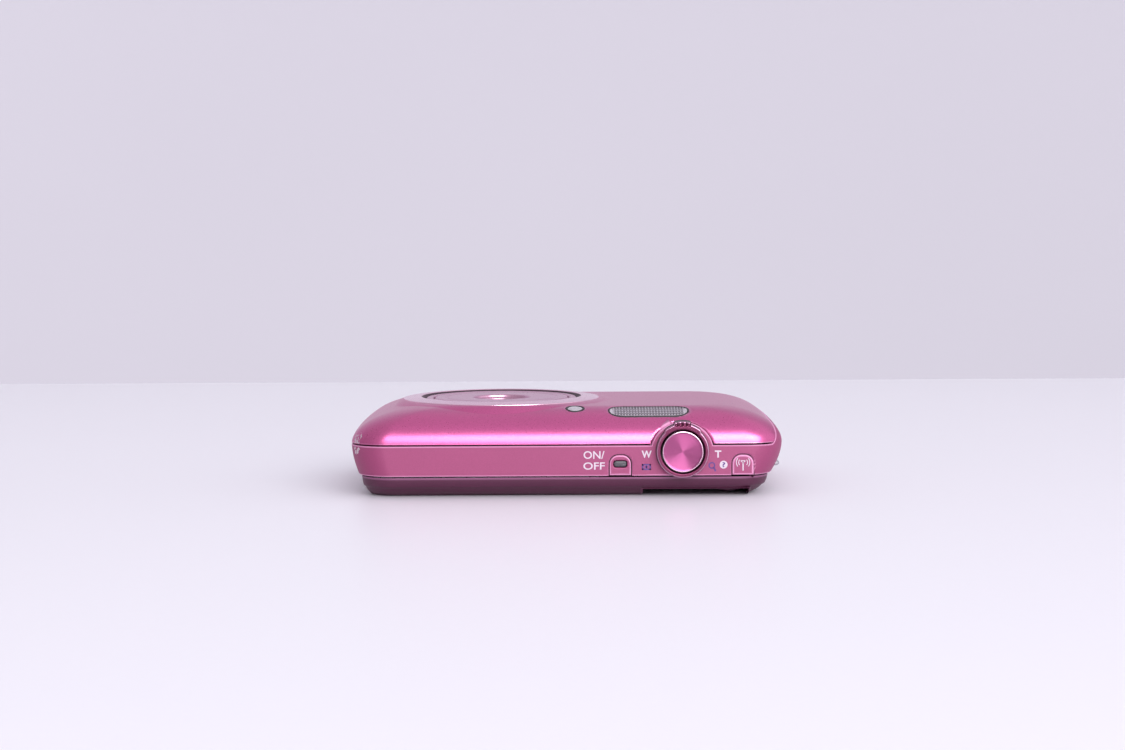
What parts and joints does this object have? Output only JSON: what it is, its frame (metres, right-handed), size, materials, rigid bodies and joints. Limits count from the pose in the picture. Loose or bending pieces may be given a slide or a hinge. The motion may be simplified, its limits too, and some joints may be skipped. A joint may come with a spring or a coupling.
{
  "type": "compact digital camera",
  "caption": "Slim pocket camera with rounded metal front, telescoping zoom lens with blade cover, zoom lever and shutter, flash, rear screen and keys, battery door.",
  "frame": {"origin": "middle of the body's outline, in the plane of its back face, where the display window lies on a table", "axes": "+Z out of the front, along the lens; +X towards the grip end; -Y towards the top plate with the shutter button; +Y towards the base"},
  "size_m": [0.0957, 0.0602, 0.0201],
  "materials": {
    "pink_metal": "satin anodised, pink-magenta",
    "pink_plastic": "metallic paint, satin",
    "plum_plastic": "dark plum, satin",
    "ring_metal": "bright pink-silver plating",
    "barrel_metal": "satin",
    "black_plastic": "fine matt",
    "clear_glass": "clear polished",
    "clear_plastic": "clear to milky, ribbed",
    "screen_cover": "polished dark window",
    "steel": "plain",
    "reflector": "mirror",
    "board": "solder mask",
    "grey_plastic": "moulded",
    "soft_rubber": "matt"
  },
  "bodies": {
    "root": {"front_cover": "pink_metal", "top_cover": "pink_plastic", "base_cover": "pink_plastic", "rear_cover": "plum_plastic", "lens_ring": "ring_metal", "lens_housing": "black_plastic", "image_sensor": "board", "zoom_motor": "steel", "power_lamp": "grey_plastic", "top_switch_board": "board", "flash_window": "clear_plastic", "flash_reflector": "reflector", "flash_tube": "clear_glass", "flash_capacitor": "black_plastic", "focus_lamp": "clear_plastic", "microphone": "steel", "charge_lamp": "clear_plastic", "key_board": "board", "display_window": "screen_cover", "display_panel": "grey_plastic", "chassis": "steel", "battery": "grey_plastic", "memory_card": "black_plastic", "battery_chamber": "grey_plastic", "main_board": "board", "base_screw_1": "steel", "base_screw_2": "steel", "tripod_socket": "steel", "speaker": "black_plastic", "usb_socket": "steel", "strap_eyelet": "steel"},
    "outer_barrel": {"outer_barrel": "barrel_metal"},
    "inner_barrel": {"inner_barrel": "pink_metal", "barrier_base": "black_plastic", "front_group_frame": "black_plastic", "front_lens": "clear_glass"},
    "blade_upper": {"barrier_blade_upper": "black_plastic"},
    "blade_lower": {"barrier_blade_lower": "black_plastic"},
    "zoom_group": {"zoom_group_frame": "black_plastic", "zoom_lens": "clear_glass"},
    "focus_group": {"focus_lens_frame": "black_plastic", "focus_lens": "clear_glass"},
    "cam_ring": {"cam_ring": "grey_plastic"},
    "zoom_gear": {"zoom_gear": "grey_plastic"},
    "zoom_lever": {"zoom_lever": "pink_metal"},
    "shutter_button": {"shutter_button": "pink_metal"},
    "power_button": {"power_button": "pink_plastic"},
    "wireless_button": {"wireless_button": "pink_plastic"},
    "mode_button": {"mode_button": "plum_plastic"},
    "playback_button": {"playback_button": "plum_plastic"},
    "menu_button": {"menu_button": "plum_plastic"},
    "delete_button": {"delete_button": "plum_plastic"},
    "movie_button": {"movie_button": "plum_plastic"},
    "ok_button": {"ok_button": "ring_metal"},
    "selector_rocker": {"selector_rocker": "steel"},
    "multi_selector": {"multi_selector": "ring_metal"},
    "battery_door": {"battery_door": "pink_plastic"},
    "door_catch": {"door_catch": "plum_plastic"},
    "battery_latch": {"battery_latch": "grey_plastic"},
    "connector_cover": {"connector_cover": "soft_rubber"}
  },
  "joints": [
    {"name": "barrel_slide", "type": "slide", "parent": "root", "child": "outer_barrel", "axis": [0, 0, 1], "range_m": [0, 0.0105]},
    {"name": "inner_barrel_slide", "type": "slide", "parent": "outer_barrel", "child": "inner_barrel", "axis": [0, 0, 1], "range_m": [0, 0.0095]},
    {"name": "blade_upper_turn", "type": "hinge", "parent": "inner_barrel", "child": "blade_upper", "pos_m": [-0.0244, 0, 0.0174], "axis": [0, 0, 1], "range_deg": [0, 32]},
    {"name": "blade_lower_turn", "type": "hinge", "parent": "inner_barrel", "child": "blade_lower", "pos_m": [-0.0054, 0, 0.0174], "axis": [0, 0, 1], "range_deg": [0, 32]},
    {"name": "zoom_group_slide", "type": "slide", "parent": "inner_barrel", "child": "zoom_group", "axis": [0, 0, 1], "range_m": [0, 0.0014]},
    {"name": "focus_slide", "type": "slide", "parent": "root", "child": "focus_group", "axis": [0, 0, 1], "range_m": [0, 0.0005]},
    {"name": "cam_ring_turn", "type": "hinge", "parent": "root", "child": "cam_ring", "pos_m": [-0.0149, 0, 0], "axis": [0, 0, 1], "range_deg": [0, 90]},
    {"name": "zoom_gear_turn", "type": "hinge", "parent": "root", "child": "zoom_gear", "pos_m": [0.00265, -0.01637, 0.0123], "axis": [0, 0, 1], "range_deg": [-856, 0]},
    {"name": "zoom_lever_turn", "type": "hinge", "parent": "root", "child": "zoom_lever", "pos_m": [0.025, -0.029, 0.0101], "axis": [0, -1, 0], "range_deg": [-22, 22], "stiffness_Nm_per_rad": 0.02},
    {"name": "shutter_press", "type": "slide", "parent": "root", "child": "shutter_button", "axis": [0, 1, 0], "range_m": [0, 0.0012], "stiffness_N_per_m": 900},
    {"name": "power_press", "type": "slide", "parent": "root", "child": "power_button", "axis": [0, 1, 0], "range_m": [0, 0.0004], "stiffness_N_per_m": 2000},
    {"name": "wireless_press", "type": "slide", "parent": "root", "child": "wireless_button", "axis": [0, 1, 0], "range_m": [0, 0.0004], "stiffness_N_per_m": 2000},
    {"name": "mode_press", "type": "slide", "parent": "root", "child": "mode_button", "axis": [0, 0, 1], "range_m": [0, 0.0003], "stiffness_N_per_m": 2500},
    {"name": "playback_press", "type": "slide", "parent": "root", "child": "playback_button", "axis": [0, 0, 1], "range_m": [0, 0.0003], "stiffness_N_per_m": 2500},
    {"name": "menu_press", "type": "slide", "parent": "root", "child": "menu_button", "axis": [0, 0, 1], "range_m": [0, 0.0003], "stiffness_N_per_m": 2500},
    {"name": "delete_press", "type": "slide", "parent": "root", "child": "delete_button", "axis": [0, 0, 1], "range_m": [0, 0.0003], "stiffness_N_per_m": 2500},
    {"name": "movie_press", "type": "slide", "parent": "root", "child": "movie_button", "axis": [0, 0, 1], "range_m": [0, 0.0003], "stiffness_N_per_m": 2500},
    {"name": "ok_press", "type": "slide", "parent": "root", "child": "ok_button", "axis": [0, 0, 1], "range_m": [0, 0.0003], "stiffness_N_per_m": 2500},
    {"name": "selector_tilt_up_down", "type": "hinge", "parent": "root", "child": "selector_rocker", "pos_m": [0.029, 0.003, 0.00265], "axis": [1, 0, 0], "range_deg": [-1.6, 1.6], "stiffness_Nm_per_rad": 0.3},
    {"name": "selector_tilt_left_right", "type": "hinge", "parent": "selector_rocker", "child": "multi_selector", "pos_m": [0.029, 0.003, 0.00245], "axis": [0, 1, 0], "range_deg": [-1.6, 1.6], "stiffness_Nm_per_rad": 0.3},
    {"name": "battery_door_hinge", "type": "hinge", "parent": "root", "child": "battery_door", "pos_m": [0.02435, 0.02865, 0.00595], "axis": [-1, 0, 0], "range_deg": [0, 95]},
    {"name": "door_catch_slide", "type": "slide", "parent": "battery_door", "child": "door_catch", "axis": [1, 0, 0], "range_m": [0, 0.003]},
    {"name": "battery_latch_slide", "type": "slide", "parent": "root", "child": "battery_latch", "axis": [-1, 0, 0], "range_m": [0, 0.0013], "stiffness_N_per_m": 300},
    {"name": "connector_cover_hinge", "type": "hinge", "parent": "root", "child": "connector_cover", "pos_m": [0.04735, 0.00725, 0.0083], "axis": [0, 0, 1], "range_deg": [0, 100]}
  ],
  "couplings": [
    {"joint": "inner_barrel_slide", "follows": "barrel_slide", "ratio": 0.90476},
    {"joint": "blade_upper_turn", "follows": "barrel_slide", "rad_per_m": 53.174},
    {"joint": "blade_lower_turn", "follows": "barrel_slide", "rad_per_m": 53.174},
    {"joint": "zoom_group_slide", "follows": "barrel_slide", "ratio": 0.13333},
    {"joint": "cam_ring_turn", "follows": "barrel_slide", "rad_per_m": 149.58},
    {"joint": "zoom_gear_turn", "follows": "barrel_slide", "rad_per_m": -1421}
  ]
}
